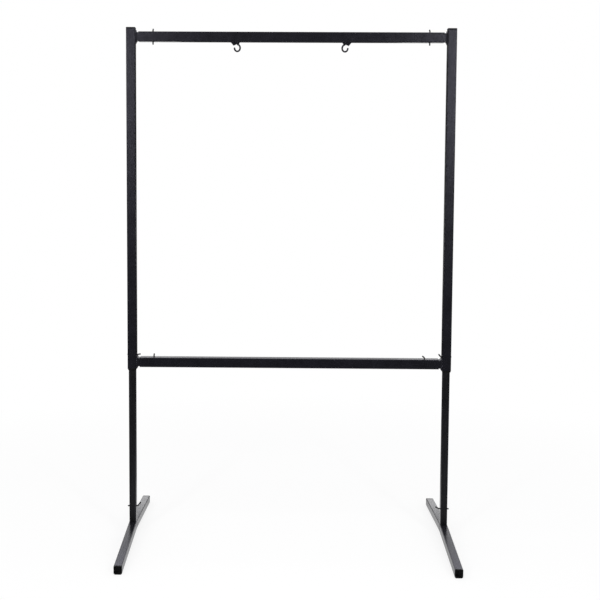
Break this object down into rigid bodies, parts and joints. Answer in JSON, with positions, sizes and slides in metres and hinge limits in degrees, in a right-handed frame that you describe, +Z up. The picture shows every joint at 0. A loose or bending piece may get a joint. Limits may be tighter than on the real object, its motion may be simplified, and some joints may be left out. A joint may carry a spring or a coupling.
{
  "type": "gong stand",
  "caption": "Free-standing black steel gong stand with height-adjustable posts, crossbars, hanging hooks, locking pins and shallow inverted-V feet.",
  "frame": {"origin": "on the floor, in the middle between the feet", "axes": "+X along the crossbars to the right as seen from the front, +Y from the front to the back, +Z up"},
  "size_m": [1.171, 0.754, 1.84],
  "materials": {
    "black_powder_coat": "satin black powder coat, very slightly blue",
    "black_plastic": "moulded black plastic, matt",
    "dark_pin_steel": "dark oxidised steel rod, satin"
  },
  "bodies": {
    "base": {"foot_left": "black_powder_coat", "foot_cap_left_front": "black_plastic", "foot_cap_left_back": "black_plastic", "foot_socket_left": "black_powder_coat", "leg_left": "black_powder_coat", "leg_guide_left": "black_plastic", "foot_right": "black_powder_coat", "foot_cap_right_front": "black_plastic", "foot_cap_right_back": "black_plastic", "foot_socket_right": "black_powder_coat", "leg_right": "black_powder_coat", "leg_guide_right": "black_plastic"},
    "frame": {"top_bar": "black_powder_coat", "lower_bar": "black_powder_coat", "post_left": "black_powder_coat", "post_cap_left": "black_plastic", "post_bush_left": "black_plastic", "top_stub_left": "black_powder_coat", "lower_stub_left": "black_powder_coat", "gong_hook_left": "black_powder_coat", "post_right": "black_powder_coat", "post_cap_right": "black_plastic", "post_bush_right": "black_plastic", "top_stub_right": "black_powder_coat", "lower_stub_right": "black_powder_coat", "gong_hook_right": "black_powder_coat"},
    "top_bar_pin_left": {"top_bar_pin_left": "dark_pin_steel"},
    "lower_bar_pin_left": {"lower_bar_pin_left": "dark_pin_steel"},
    "height_pin_left": {"height_pin_left": "dark_pin_steel"},
    "foot_pin_left": {"foot_pin_left": "dark_pin_steel"},
    "top_bar_pin_right": {"top_bar_pin_right": "dark_pin_steel"},
    "lower_bar_pin_right": {"lower_bar_pin_right": "dark_pin_steel"},
    "height_pin_right": {"height_pin_right": "dark_pin_steel"},
    "foot_pin_right": {"foot_pin_right": "dark_pin_steel"}
  },
  "joints": [
    {"name": "frame_height", "type": "slide", "parent": "base", "child": "frame", "axis": [0, 0, 1], "range_m": [-0.2, 0.1]},
    {"name": "top_bar_pin_left_pull", "type": "slide", "parent": "frame", "child": "top_bar_pin_left", "axis": [0, 0, 1], "range_m": [0, 0.048]},
    {"name": "top_bar_pin_right_pull", "type": "slide", "parent": "frame", "child": "top_bar_pin_right", "axis": [0, 0, 1], "range_m": [0, 0.048]},
    {"name": "lower_bar_pin_left_pull", "type": "slide", "parent": "frame", "child": "lower_bar_pin_left", "axis": [0, 0, 1], "range_m": [0, 0.04]},
    {"name": "lower_bar_pin_right_pull", "type": "slide", "parent": "frame", "child": "lower_bar_pin_right", "axis": [0, 0, 1], "range_m": [0, 0.04]},
    {"name": "height_pin_left_pull", "type": "slide", "parent": "frame", "child": "height_pin_left", "axis": [1, 0, 0], "range_m": [0, 0.037]},
    {"name": "height_pin_right_pull", "type": "slide", "parent": "frame", "child": "height_pin_right", "axis": [-1, 0, 0], "range_m": [0, 0.037]},
    {"name": "foot_pin_left_pull", "type": "slide", "parent": "base", "child": "foot_pin_left", "axis": [1, 0, 0], "range_m": [0, 0.036]},
    {"name": "foot_pin_right_pull", "type": "slide", "parent": "base", "child": "foot_pin_right", "axis": [-1, 0, 0], "range_m": [0, 0.036]}
  ]
}
